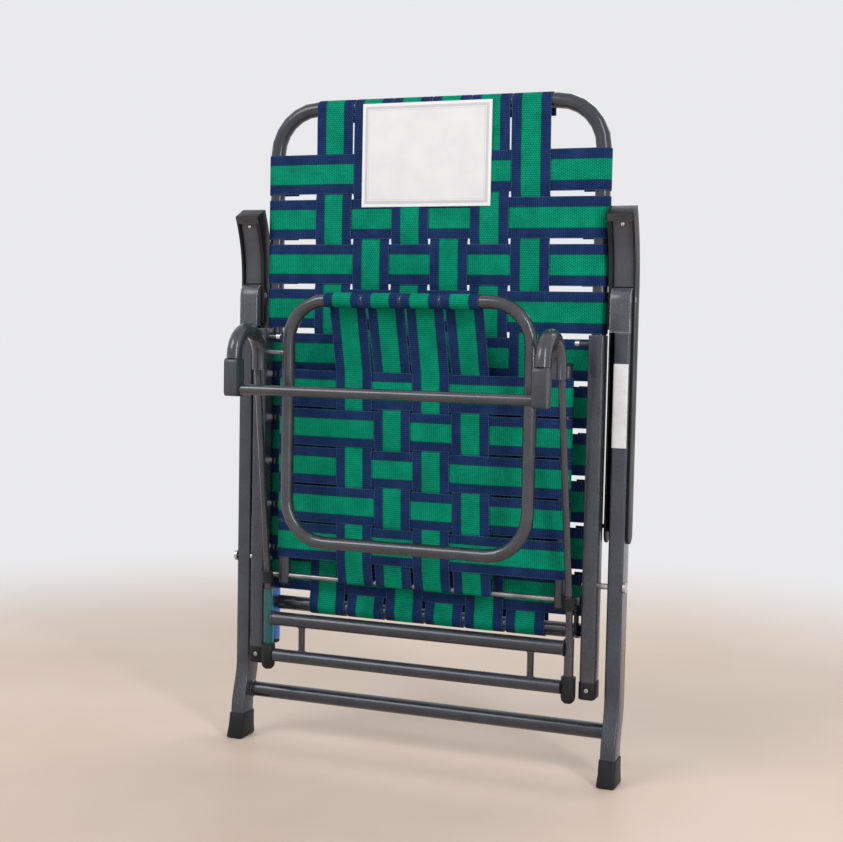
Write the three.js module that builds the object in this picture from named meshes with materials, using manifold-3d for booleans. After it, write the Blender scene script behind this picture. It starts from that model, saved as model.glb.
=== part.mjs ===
// Folding webbed lawn chair, folded flat and standing on its two rubber feet.
// Millimetres, +Z up, +Y towards the back panel, X across, floor at zero height.
import * as THREE from "three";
import { mergeVertices } from "three/addons/utils/BufferGeometryUtils.js";
import Module from "manifold-3d";

const wasm = await Module();
wasm.setup();

// Clearances
const seatGap = 0.3;
const pinGap = 0.3;
const slideGap = 0.6;
const overrun = 2;

// Webbing
const strapThick = 1.4;
const backRowGap = 7.8;
const backColWidth = 58.5;
const backColGap = 2.5;
const seatRowWidth = 54.5;
const seatRowGap = 3;
const seatColWidth = 57;
const seatColGap = 2.6;
const hemLength = 30;
const shortHemLength = 20;
const wrapSteps = 5;

// Back frame
const backHalfSpan = 254;
const backTubeRadius = 11;
const backTopHeight = 962;
const backEndHeight = 150;
const backBendRadius = 68;
const backRowCount = 10;
const backColCount = 6;
const topRowDrop = 98.5;
const lowRowRise = 4.3;
const backColShift = -2;
const backColFan = 1.9;
const backColDrift = 4.8;
const backPivotHeight = 362.5;
const backPinRadius = 3.2;
const backPinReach = 15;

// Hip bar and its hinge plates
const hipBarRadius = 11;
const hipBarY = -5;
const hipBarGap = 11.8;
const hipPlateThick = 3;
const hipPlateReach = 8;
const hipPlateRise = 6;

// Seat frame
const seatHalfSpan = 217.5;
const seatTubeRadius = 9.5;
const seatPlaneY = -33;
const seatPivotHeight = 258;
const seatTubeSpare = 43.5;
const seatTubeTail = 10;
const hipRodRadius = 4;
const hipRodHeadRadius = 7;
const hipRodHeadThick = 3.5;
const seatRowCount = 5;
const seatColCount = 4;
const seatRowStart = 29.25;
const seatColShift = -8.5;
const seatColFan = 1.9;
const seatColDrift = 2.8;
const seatWeaveRise = 11;

// Ring in front of the seat, with the pins on its sides
const ringHalfSpan = 184.6;
const ringTubeRadius = 9.5;
const ringY = -95;
const ringTop = 675;
const ringBottom = 322;
const ringBendRadius = 60;
const kneePinY = -100;
const kneePinDrop = 77;
const kneePinRadius = 3;
const kneePinDepth = 10;

// Front legs: hook, stay rod, collar and lower tube
const hookX = 226.5;
const hookTubeRadius = 11;
const hookRearY = -106;
const hookFrontY = -183;
const hookTail = 26;
const rodX = 236;
const rodTopX = 230.5;
const rodRadius = 5;
const rodKneeY = -54;
const collarHeight = 258;
const collarRadius = 8;
const collarLength = 17;
const lowerTubeY = -48;
const lowerTubeRadius = 7;
const lowerTubeTop = 207;
const lowerTubeEnd = 125;

// Rails between the front legs
const upperRailHeight = 193;
const upperRailRadius = 10.7;
const lowerRailHeight = 137;
const lowerRailRadius = 10;
const strutX = 180;
const strutRadius = 5;

// End caps of the front legs
const bulletRadius = 10.5;
const bulletTop = 153;
const bulletBottom = 114;
const bulletRound = 9.5;

// Corner blocks and the thin bar between them
const blockWidth = 20;
const blockDepth = 24;
const blockDrop = 8;
const blockHeight = 54;
const blockRound = 6;
const crossBarRadius = 7.5;
const crossBarRise = 10;

// Inner flat-oval legs
const linkWidth = 22;
const linkDepth = 28;
const linkX = 260.5;
const linkSetback = 3;
const linkTopDrop = 4;
const linkEnd = 128.3;
const linkCorner = 3.5;
const linkPinDrop = 12;
const linkPinRadius = 3.5;
const linkCapWall = 1;
const linkCapTop = 145;
const linkCapBottom = 120;

// Scissor bolt
const boltY = -20;
const boltHeight = 280;
const boltRadius = 3;
const boltHeadRadius = 8;
const boltHeadThick = 4;
const boltNutRadius = 4.6;
const boltNutThick = 4;

// Outer legs, their rail and feet
const legWidth = 22;
const legDepth = 34;
const legY = -8;
const legTopDrop = 46;
const legCorner = 3;
const legToeShift = 16;
const legBendTop = 115;
const legBendEnd = 42;
const legEnd = 17;
const legRailRadius = 11.5;
const legRailHeight = 70;
const footHeight = 37;
const footTopWidth = 25;
const footSoleWidth = 27;
const footTopDepth = 39;
const footSoleDepth = 47;
const footSoleY = -28;
const footRound = 2;

// Hinge blocks on the legs
const armPivotHeight = 682;
const hingeBlockWidth = 29;
const hingeAxleRadius = 4;

// Channel armrests
const armInnerWall = 2.5;
const armOuterWall = 3;
const armWebThick = 3;
const armRecess = 7;
const armSwell = 3;
const armSwellRise = 8;
const armFrontY = -14;
const armRearY = 13;
const armEnd = 339;
const armBendRise = 23;
const armBendRadius = 209;
const armHandThick = 12;
const armBendAngle = THREE.MathUtils.degToRad(27);

// Paper card hung on the back
const cardLeft = -108;
const cardRight = 93;
const cardHeight = 151;
const cardRise = 3;
const cardThick = 1;

// Section detail
const tubeSides = 14;
const thinSides = 8;
const bendSteps = 6;
const cornerSteps = 3;

// Colours and finishes
const steel = { color: 0x54565a, roughness: 0.34, metalness: 0.75 };
const plated = { color: 0x9a9c9e, roughness: 0.3, metalness: 0.9 };
const plastic = { color: 0x2c2e31, roughness: 0.42, metalness: 0 };
const rubber = { color: 0x1f2123, roughness: 0.8, metalness: 0 };
const webbing = { color: 0x08935c, roughness: 0.85, metalness: 0 };
const paper = { color: 0xf2f3f2, roughness: 0.6, metalness: 0 };

// Derived places shared by several pieces
const lowRowHeight = seatPivotHeight + lowRowRise;
const topRowHeight = backTopHeight - topRowDrop;
const backRowPitch = (topRowHeight - lowRowHeight) / (backRowCount - 1);
const backRowWidth = backRowPitch - backRowGap;
const backColPitch = backColWidth + backColGap;
const hipBarHeight = lowRowHeight - backRowWidth / 2 - hipBarGap - hipBarRadius;
const hipPlateKneeHeight = hipBarHeight + hipPlateRise;
const seatRowPitch = seatRowWidth + seatRowGap;
const seatColPitch = seatColWidth + seatColGap;
const seatSpan = (seatRowCount - 1) * seatRowPitch + seatRowWidth;
const seatTopRowHeight = seatPivotHeight + seatRowStart + seatSpan - seatRowWidth / 2;
const seatTubeTop = seatTopRowHeight + seatTubeSpare;
const strapStack = seatGap + strapThick / 2;
const weaveLift = (strapThick + seatGap) / 2 + seatGap / 6;
const backWrapRadius = backTubeRadius + strapStack;
const linkY = -(backWrapRadius + strapThick / 2 + linkSetback / 2) - linkDepth / 2;
const linkPinEnd = seatHalfSpan + seatTubeRadius + 2 * strapStack + 2 * seatGap;
const armInner = linkX + linkWidth / 2 + slideGap;
const blockInner = armInner + armInnerWall + seatGap;
const blockOuter = blockInner + hingeBlockWidth;
const armOuter = blockOuter + seatGap + armOuterWall;
const legX = blockOuter - legWidth / 2;
const kneePinInner = ringHalfSpan + ringTubeRadius - kneePinDepth;
const kneePinOuter = hookX - hookTubeRadius + kneePinDepth;
const legTop = armPivotHeight - legTopDrop;
const linkTop = legTop - linkTopDrop;
const linkPinHeight = linkTop - linkPinDrop;
const armBendStart = armPivotHeight + armBendRise;
const kneePinHeight = ringTop - kneePinDrop;
const hookRearEnd = kneePinHeight - hookTail;
const blockTop = kneePinHeight - blockDrop;
const blockBottom = blockTop - blockHeight;
const crossBarHeight = blockBottom + crossBarRise;
const blockCrown = armPivotHeight + seatGap + legDepth / 2;
const cardTop = backTopHeight + cardRise;
const cardBottom = cardTop - cardHeight;
const legToeY = legY - legToeShift;
const group = new THREE.Group();

// Geometry of a list of points and faces, turned so that its faces point outwards
function faceOut(points, faces) {
  let volume = 0;
  const [a, b, c] = [new THREE.Vector3(), new THREE.Vector3(), new THREE.Vector3()];
  for (const [i, j, k] of faces) {
    a.copy(points[i]);
    b.copy(points[j]);
    c.copy(points[k]);
    volume += a.dot(b.cross(c));
  }
  const turned = volume < 0 ? faces.map(([i, j, k]) => [i, k, j]) : faces;
  const geometry = new THREE.BufferGeometry();
  geometry.setAttribute("position", new THREE.Float32BufferAttribute(points.flatMap((p) => p.toArray()), 3));
  geometry.setIndex(turned.flat());
  return geometry;
}

// Skin over a row of rings that all have the same number of points
function loft(rings, closed = false) {
  const n = rings[0].length;
  const faces = [];
  const spans = closed ? rings.length : rings.length - 1;
  for (let i = 0; i < spans; i++) {
    const near = i * n;
    const far = ((i + 1) % rings.length) * n;
    for (let j = 0; j < n; j++) {
      const k = (j + 1) % n;
      faces.push([near + j, near + k, far + k], [near + j, far + k, far + j]);
    }
  }
  if (!closed) {
    const last = (rings.length - 1) * n;
    for (let j = 1; j < n - 1; j++) {
      faces.push([0, j + 1, j], [last, last + j, last + j + 1]);
    }
  }
  return faceOut(rings.flat(), faces);
}

// Points of a circle in its own plane
function circle(radius, sides) {
  return Array.from({ length: sides }, (_, i) => {
    const angle = (2 * Math.PI * (i + 0.5)) / sides;
    return [radius * Math.cos(angle), radius * Math.sin(angle)];
  });
}

// Points of a rounded rectangle centred on zero
function roundedBox(width, depth, corner) {
  const points = [];
  const quarters = [[1, 1], [-1, 1], [-1, -1], [1, -1]];
  quarters.forEach(([sx, sy], q) => {
    for (let i = 0; i <= cornerSteps; i++) {
      const angle = (Math.PI / 2) * (q + i / cornerSteps);
      const x = sx * (width / 2 - corner) + corner * Math.cos(angle);
      points.push([x, sy * (depth / 2 - corner) + corner * Math.sin(angle)]);
    }
  });
  return points;
}

// A path through corners that are rounded with one bend radius
function bentPath(corners, radius, closed = false) {
  const count = corners.length;
  return corners.flatMap((corner, i) => {
    if (!closed && (i === 0 || i === count - 1)) return [corner];
    const before = corners[(i + count - 1) % count].clone().sub(corner).normalize();
    const after = corners[(i + 1) % count].clone().sub(corner).normalize();
    const half = before.angleTo(after) / 2;
    const centre = before.clone().add(after).normalize().multiplyScalar(radius / Math.sin(half)).add(corner);
    const from = before.clone().multiplyScalar(radius / Math.tan(half)).add(corner).sub(centre);
    const to = after.clone().multiplyScalar(radius / Math.tan(half)).add(corner).sub(centre);
    const sweep = from.angleTo(to);
    return Array.from({ length: bendSteps + 1 }, (_, k) => {
      const t = k / bendSteps;
      const a = from.clone().multiplyScalar(Math.sin((1 - t) * sweep) / Math.sin(sweep));
      return a.add(to.clone().multiplyScalar(Math.sin(t * sweep) / Math.sin(sweep))).add(centre);
    });
  });
}

// Direction of a path at one of its points, and how much a bend there widens a mitred section
function mitre(path, i, closed) {
  const count = path.length;
  const previous = closed ? path[(i + count - 1) % count] : path[Math.max(i - 1, 0)];
  const next = closed ? path[(i + 1) % count] : path[Math.min(i + 1, count - 1)];
  const here = path[i];
  const arriving = here.clone().sub(previous);
  const leaving = next.clone().sub(here);
  if (arriving.lengthSq() === 0) arriving.copy(leaving);
  if (leaving.lengthSq() === 0) leaving.copy(arriving);
  arriving.normalize();
  leaving.normalize();
  const along = arriving.clone().add(leaving).normalize();
  return { along, widen: 1 / Math.cos(arriving.angleTo(leaving) / 2) };
}

// Section swept along a path that lies in the plane square to flat
function swept(path, section, flat, closed = false) {
  return loft(path.map((point, i) => {
    const { along, widen } = mitre(path, i, closed);
    const side = new THREE.Vector3().crossVectors(along, flat).normalize().multiplyScalar(widen);
    return section.map(([u, v]) => point.clone().addScaledVector(flat, u).addScaledVector(side, v));
  }), closed);
}

// Round pieces turned about a line along X, from a list of places and radii
function turnedX(profile, y, z, side, sides = tubeSides) {
  return loft(profile.map(([x, radius]) => circle(radius, sides).map(([u, v]) => {
    return new THREE.Vector3(side * x, y + u, z + v);
  })));
}

// Round bar across the chair, from x to x
function barX(from, to, radius, y, z, sides = tubeSides) {
  return turnedX([[from, radius], [to, radius]], y, z, 1, sides);
}

// Flat plate with an outline in Y and Z, from x to x
function plateX(outline, from, to) {
  const shape = new THREE.Shape(outline.map(([y, z]) => new THREE.Vector2(y, z)));
  const plate = new THREE.ExtrudeGeometry(shape, { depth: Math.abs(to - from), bevelEnabled: false });
  const basis = new THREE.Matrix4().makeBasis(
    new THREE.Vector3(0, 1, 0),
    new THREE.Vector3(0, 0, 1),
    new THREE.Vector3(1, 0, 0),
  );
  return plate.applyMatrix4(basis).translate(Math.min(from, to), 0, 0);
}

// Outline of a bar with round ends between two points in Y and Z
function capsule([y0, z0], [y1, z1], radius) {
  const lean = Math.atan2(z1 - z0, y1 - y0);
  const points = [];
  for (const [y, z, start] of [[y1, z1, lean - Math.PI / 2], [y0, z0, lean + Math.PI / 2]]) {
    for (let i = 0; i <= 2 * cornerSteps; i++) {
      const angle = start + (Math.PI * i) / (2 * cornerSteps);
      points.push([y + radius * Math.cos(angle), z + radius * Math.sin(angle)]);
    }
  }
  return points;
}

// Upright piece made of level sections, each with its own place and height
function upright(levels) {
  return loft(levels.map(({ x, y, z, section }) => section.map(([u, v]) => new THREE.Vector3(x + u, y + v, z))));
}

// Closed geometry as a solid that can be joined and cut
function solid(geometry) {
  const bare = geometry.clone();
  bare.deleteAttribute("normal");
  bare.deleteAttribute("uv");
  const merged = mergeVertices(bare);
  return new wasm.Manifold(new wasm.Mesh({
    numProp: 3,
    vertProperties: merged.attributes.position.array,
    triVerts: new Uint32Array(merged.index.array),
  }));
}

// First shape joined with the others, less the cuts
function joined(shapes, cuts = []) {
  const whole = shapes.map(solid).reduce((a, b) => a.add(b));
  const mesh = cuts.map(solid).reduce((a, b) => a.subtract(b), whole).getMesh();
  const geometry = new THREE.BufferGeometry();
  geometry.setAttribute("position", new THREE.BufferAttribute(mesh.vertProperties, 3));
  return geometry.setIndex(new THREE.BufferAttribute(mesh.triVerts, 1));
}

// Named mesh in the chair's group
function piece(name, geometry, finish) {
  if (!geometry.getAttribute("normal")) geometry.computeVertexNormals();
  const mesh = new THREE.Mesh(geometry, new THREE.MeshStandardMaterial(finish));
  mesh.name = name;
  group.add(mesh);
}

// Turn of a strap about a bar: it touches the wrap circle and never cuts inside it
function wrap(centre, radius, from, to) {
  const step = (to - from) / wrapSteps;
  const points = [[from, radius]];
  for (let i = 0; i < wrapSteps; i++) {
    points.push([from + (i + 0.5) * step, radius / Math.cos(step / 2)]);
  }
  points.push([to, radius]);
  return points.map(([angle, r]) => [centre[0] + r * Math.cos(angle), centre[1] + r * Math.sin(angle)]);
}

// Angle at which a line from a point touches a wrap circle, on the side that turn chooses
function touch(point, centre, radius, turn) {
  const dy = point[0] - centre[0];
  const dz = point[1] - centre[1];
  return Math.atan2(dz, dy) + turn * Math.acos(radius / Math.hypot(dy, dz));
}

// Flat strap along a path; across gives the direction of its width at each point
function strap(path, width, across) {
  return loft(path.map((point, i) => {
    const { along, widen } = mitre(path, i, false);
    const wide = across(i).clone().normalize();
    const face = new THREE.Vector3().crossVectors(along, wide).normalize();
    const thick = (strapThick / 2) * widen;
    return [[1, 1], [-1, 1], [-1, -1], [1, -1]].map(([u, v]) => {
      return point.clone().addScaledVector(wide, (u * width) / 2).addScaledVector(face, v * thick);
    });
  }));
}

const alongX = new THREE.Vector3(1, 0, 0);
const alongY = new THREE.Vector3(0, 1, 0);
const alongZ = new THREE.Vector3(0, 0, 1);
const at = (x, y, z) => new THREE.Vector3(x, y, z);
const backFan = {
  count: backColCount,
  top: backTopHeight,
  bottom: hipBarHeight,
  pitch: backColPitch,
  shift: backColShift,
  fan: backColFan,
  drift: backColDrift,
};
const seatFan = {
  count: seatColCount,
  top: ringTop,
  bottom: seatPivotHeight,
  pitch: seatColPitch,
  shift: seatColShift,
  fan: seatColFan,
  drift: seatColDrift,
};

// Middle of a column at a height: the columns spread a little towards their lower bar
function columnX(col, spread, z) {
  const { count, top, bottom, pitch, shift, fan, drift } = spread;
  const t = (top - z) / (top - bottom);
  return shift + t * drift + (col - (count - 1) / 2) * (pitch + t * fan);
}
const rowOver = (row, col) => (row + col) % 2 === 0;
const sides = [["L", -1], ["R", 1]];

// Back frame: one bent tube, with a blind hole for each armrest's pin
const backCorners = [
  at(-backHalfSpan, 0, backEndHeight),
  at(-backHalfSpan, 0, backTopHeight),
  at(backHalfSpan, 0, backTopHeight),
  at(backHalfSpan, 0, backEndHeight),
];
const backHoleDepth = backHalfSpan + backTubeRadius - backPinReach - pinGap;
piece("back_tube", joined(
  [swept(bentPath(backCorners, backBendRadius), circle(backTubeRadius, tubeSides), alongY)],
  sides.map(([, s]) => turnedX(
    [[backHoleDepth, backPinRadius + pinGap], [backHalfSpan + backTubeRadius + overrun, backPinRadius + pinGap]],
    0, backPivotHeight, s, thinSides,
  )),
), steel);

// Hip bar, held between the hinge plates of the back frame
const hipPlateOuter = backHalfSpan - backTubeRadius - seatGap;
const hipPlateInner = hipPlateOuter - hipPlateThick;
const hipBarEnd = hipPlateInner - seatGap;
piece("hip_bar", barX(-hipBarEnd, hipBarEnd, hipBarRadius, hipBarY, hipBarHeight), steel);
for (const [label, s] of sides) {
  const elbow = [seatPlaneY + seatGap, hipPlateKneeHeight];
  piece("hip_bracket_" + label, joined(
    [
      plateX(capsule([seatPlaneY, seatPivotHeight], elbow, hipPlateReach), s * hipPlateInner, s * hipPlateOuter),
      plateX(capsule(elbow, [hipBarY, hipBarHeight], hipPlateReach), s * hipPlateInner, s * hipPlateOuter),
    ],
    [turnedX(
      [[hipPlateInner - overrun, hipRodRadius + pinGap], [hipPlateOuter + overrun, hipRodRadius + pinGap]],
      seatPlaneY, seatPivotHeight, s,
    )],
  ), steel);
}

// Hip rod: the seat turns on it, and the seat's long straps end on it
const hipRodHead = hipPlateOuter + seatGap;
piece("hip_rod", turnedX([
  [-hipRodHead - hipRodHeadThick, hipRodHeadRadius],
  [-hipRodHead, hipRodHeadRadius],
  [-hipRodHead, hipRodRadius],
  [hipRodHead, hipRodRadius],
  [hipRodHead, hipRodHeadRadius],
  [hipRodHead + hipRodHeadThick, hipRodHeadRadius],
], seatPlaneY, seatPivotHeight, 1), plated);

// Seat side tubes
for (const [label, s] of sides) {
  const ends = [seatPivotHeight - seatTubeTail, seatTubeTop].map((z) => at(s * seatHalfSpan, seatPlaneY, z));
  piece("seat_tube_" + label, joined(
    [swept(ends, circle(seatTubeRadius, tubeSides), alongY)],
    [turnedX(
      [[seatHalfSpan - seatTubeRadius - overrun, hipRodRadius + pinGap],
        [seatHalfSpan + seatTubeRadius + overrun, hipRodRadius + pinGap]],
      seatPlaneY, seatPivotHeight, s,
    )],
  ), steel);
}

// Closed ring in front of the seat, with a blind hole for each knee pin
const ringCorners = [
  at(-ringHalfSpan, ringY, ringBottom),
  at(-ringHalfSpan, ringY, ringTop),
  at(ringHalfSpan, ringY, ringTop),
  at(ringHalfSpan, ringY, ringBottom),
];
piece("legrest_loop", joined(
  [swept(bentPath(ringCorners, ringBendRadius, true), circle(ringTubeRadius, tubeSides), alongY, true)],
  sides.map(([, s]) => turnedX(
    [[kneePinInner - pinGap, kneePinRadius + pinGap],
      [ringHalfSpan + ringTubeRadius + overrun, kneePinRadius + pinGap]],
    kneePinY, kneePinHeight, s, thinSides,
  )),
), steel);
for (const [label, s] of sides) {
  const ends = [[kneePinInner, kneePinRadius], [kneePinOuter, kneePinRadius]];
  piece("knee_pin_" + label, turnedX(ends, kneePinY, kneePinHeight, s, thinSides), plated);
}

// Front legs: a hook over the top, a stay rod with its collar, and the lower tube
const hookBend = (hookRearY - hookFrontY) / 2;
const hookCrown = blockTop + seatGap + slideGap + hookBend;
for (const [label, s] of sides) {
  const hook = bentPath([
    at(s * hookX, hookRearY, hookRearEnd),
    at(s * hookX, hookRearY, hookCrown),
    at(s * hookX, hookFrontY, hookCrown),
    at(s * hookX, hookFrontY, blockTop + seatGap),
  ], hookBend - seatGap);
  const rod = [
    at(s * rodX, lowerTubeY, lowerTubeTop - lowerTubeRadius),
    at(s * rodX, rodKneeY, collarHeight),
    at(s * rodTopX, hookRearY, hookRearEnd + hookTubeRadius),
  ];
  const rodLean = rod[2].clone().sub(rod[1]).normalize();
  const collar = [-1, 1].map((end) => rod[1].clone().addScaledVector(rodLean, (end * collarLength) / 2));
  const lower = [at(s * rodX, lowerTubeY, lowerTubeEnd), at(s * rodX, lowerTubeY, lowerTubeTop)];
  const round = (points, radius, count) => upright(points.map(({ x, y, z }) => {
    return { x, y, z, section: circle(radius, count) };
  }));
  const pinHole = turnedX(
    [[hookX - hookTubeRadius - overrun, kneePinRadius + pinGap], [kneePinOuter + pinGap, kneePinRadius + pinGap]],
    kneePinY, kneePinHeight, s, thinSides,
  );
  piece("front_leg_" + label, joined([
    swept(hook, circle(hookTubeRadius, tubeSides), alongX),
    round(rod, rodRadius, thinSides),
    round(collar, collarRadius, thinSides),
    round(lower, lowerTubeRadius, tubeSides),
  ], [pinHole]), steel);
}

// Two rails and two struts between the front legs
const upperRailEnd = rodX - lowerTubeRadius - seatGap;
const lowerRailEnd = rodX - bulletRadius - seatGap;
piece("front_rails", joined([
  barX(-upperRailEnd, upperRailEnd, upperRailRadius, lowerTubeY, upperRailHeight),
  barX(-lowerRailEnd, lowerRailEnd, lowerRailRadius, lowerTubeY, lowerRailHeight),
  ...sides.map(([, s]) => swept(
    [at(s * strutX, lowerTubeY, lowerRailHeight), at(s * strutX, lowerTubeY, upperRailHeight)],
    circle(strutRadius, thinSides), alongY,
  )),
]), steel);

// Rounded caps on the lower ends of the front legs
for (const [label, s] of sides) {
  const pocket = lowerTubeRadius + pinGap;
  const floor = lowerTubeEnd - seatGap;
  const profile = [new THREE.Vector2(0, bulletBottom)];
  for (let i = 1; i <= cornerSteps; i++) {
    const angle = (Math.PI / 2) * (i / cornerSteps);
    profile.push(new THREE.Vector2(
      bulletRadius - bulletRound + bulletRound * Math.sin(angle),
      bulletBottom + bulletRound - bulletRound * Math.cos(angle),
    ));
  }
  profile.push(new THREE.Vector2(bulletRadius, bulletTop), new THREE.Vector2(pocket, bulletTop));
  profile.push(new THREE.Vector2(pocket, floor), new THREE.Vector2(0, floor));
  const cap = new THREE.LatheGeometry(profile, tubeSides).rotateX(Math.PI / 2);
  piece("bullet_cap_" + label, joined([cap.translate(s * rodX, lowerTubeY, 0)]), plastic);
}

// Corner blocks under the hooks, and the thin bar between them
for (const [label, s] of sides) {
  const outline = roundedBox(blockDepth, blockTop - blockBottom, blockRound)
    .map(([y, z]) => [hookFrontY + y, (blockTop + blockBottom) / 2 + z]);
  const inner = s * (hookX - blockWidth / 2);
  piece("corner_block_" + label, plateX(outline, inner, inner + s * blockWidth), plastic);
}
const crossBarEnd = hookX - blockWidth / 2 - seatGap;
piece("cross_bar", barX(-crossBarEnd, crossBarEnd, crossBarRadius, hookFrontY, crossBarHeight), steel);

// Inner flat-oval legs with the top pin, and their end caps
const boltHoleX = (from, to, s) => turnedX(
  [[from - overrun, boltRadius + pinGap], [to + overrun, boltRadius + pinGap]],
  boltY, boltHeight, s, thinSides,
);
for (const [label, s] of sides) {
  const section = roundedBox(linkWidth, linkDepth, linkCorner);
  const pocket = roundedBox(linkWidth + 2 * pinGap, linkDepth + 2 * pinGap, linkCorner + pinGap);
  const shell = (shrink) => roundedBox(
    linkWidth + 2 * (linkCapWall - shrink),
    linkDepth + 2 * (linkCapWall - shrink),
    linkCorner + linkCapWall - shrink,
  );
  const level = (z, outline) => ({ x: s * linkX, y: linkY, z, section: outline });
  const pinTip = linkX - linkWidth / 2 + overrun;
  piece("link_leg_" + label, joined(
    [
      upright([level(linkEnd, section), level(linkTop, section)]),
      turnedX([[linkPinEnd, linkPinRadius], [pinTip, linkPinRadius]], seatPlaneY, linkPinHeight, s, thinSides),
    ],
    [boltHoleX(linkX - linkWidth / 2, linkX + linkWidth / 2, s)],
  ), steel);
  const round = linkCorner / 2;
  piece("link_cap_" + label, joined(
    [upright([
      level(linkCapBottom, shell(linkCapWall + round)),
      level(linkCapBottom + round / 2, shell(linkCapWall + round / 4)),
      level(linkCapBottom + round, shell(0)),
      level(linkCapTop, shell(0)),
    ])],
    [upright([level(linkEnd - seatGap, pocket), level(linkCapTop + overrun, pocket)])],
  ), plastic);
}

// Scissor bolts: head, leg, spacer, inner leg and nut along one line
const legInner = legX - legWidth / 2;
for (const [label, s] of sides) {
  const linkOuter = linkX + linkWidth / 2 + seatGap;
  const linkInner = linkX - linkWidth / 2 - seatGap;
  const headFrom = blockOuter + seatGap;
  piece("scissor_bolt_" + label, turnedX([
    [linkInner - boltNutThick, boltNutRadius],
    [linkInner, boltNutRadius],
    [linkInner, boltRadius],
    [linkOuter, boltRadius],
    [linkOuter, boltNutRadius],
    [legInner - seatGap, boltNutRadius],
    [legInner - seatGap, boltRadius],
    [headFrom, boltRadius],
    [headFrom, boltHeadRadius],
    [headFrom + boltHeadThick, boltHeadRadius],
  ], boltY, boltHeight, s, thinSides), plated);
}

// Outer legs, bent forward above the feet
function legLevels(s, grow, from, to) {
  const bendSharesUp = [1, 0.8, 0.6, 0.4, 0.2, 0];
  const heights = [to, ...bendSharesUp.map((t) => legBendEnd + t * (legBendTop - legBendEnd)), from];
  const section = roundedBox(legWidth + 2 * grow, legDepth + 2 * grow, legCorner + grow);
  return heights.map((z) => {
    const t = THREE.MathUtils.smoothstep(z, legBendEnd, legBendTop);
    return { x: s * legX, y: legToeY + t * legToeShift, z, section };
  });
}
for (const [label, s] of sides) {
  piece("rear_leg_" + label, joined(
    [upright(legLevels(s, 0, legEnd, legTop))],
    [boltHoleX(legInner, legInner + legWidth, s)],
  ), steel);
}
const legRailEnd = legInner - seatGap;
piece("leg_rail", barX(-legRailEnd, legRailEnd, legRailRadius, legY, legRailHeight), steel);

// Rubber feet, each with a pocket for its leg
for (const [label, s] of sides) {
  const corner = legCorner + footRound;
  const level = (z, width, depth, y) => ({ x: s * legX, y, z, section: roundedBox(width, depth, corner) });
  piece("foot_" + label, joined(
    [upright([
      level(0, footSoleWidth - footRound, footSoleDepth - footRound, footSoleY),
      level(footRound, footSoleWidth, footSoleDepth, footSoleY),
      level(legEnd, footTopWidth, (footTopDepth + footSoleDepth) / 2, (legToeY + footSoleY) / 2),
      level(footHeight, footTopWidth, footTopDepth, legToeY),
    ])],
    [upright(legLevels(s, pinGap, legEnd - seatGap, legTop))],
  ), rubber);
}

// Hinge blocks on the legs, with the axles that the armrests turn on
for (const [label, s] of sides) {
  const half = legDepth / 2;
  const floor = [[legY - half, legTop + seatGap], [legY + half, legTop + seatGap]];
  const dome = capsule([legY, armPivotHeight], [legY, armPivotHeight + seatGap], half);
  const body = [floor[0], floor[1], [legY + half, armPivotHeight], [legY - half, armPivotHeight]];
  piece("arm_block_" + label, joined([
    plateX(body, s * blockInner, s * blockOuter),
    plateX(dome, s * blockInner, s * blockOuter),
    turnedX([[armInner - armSwell, hingeAxleRadius], [armOuter, hingeAxleRadius]], legY, armPivotHeight, s),
  ]), plastic);
}

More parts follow.
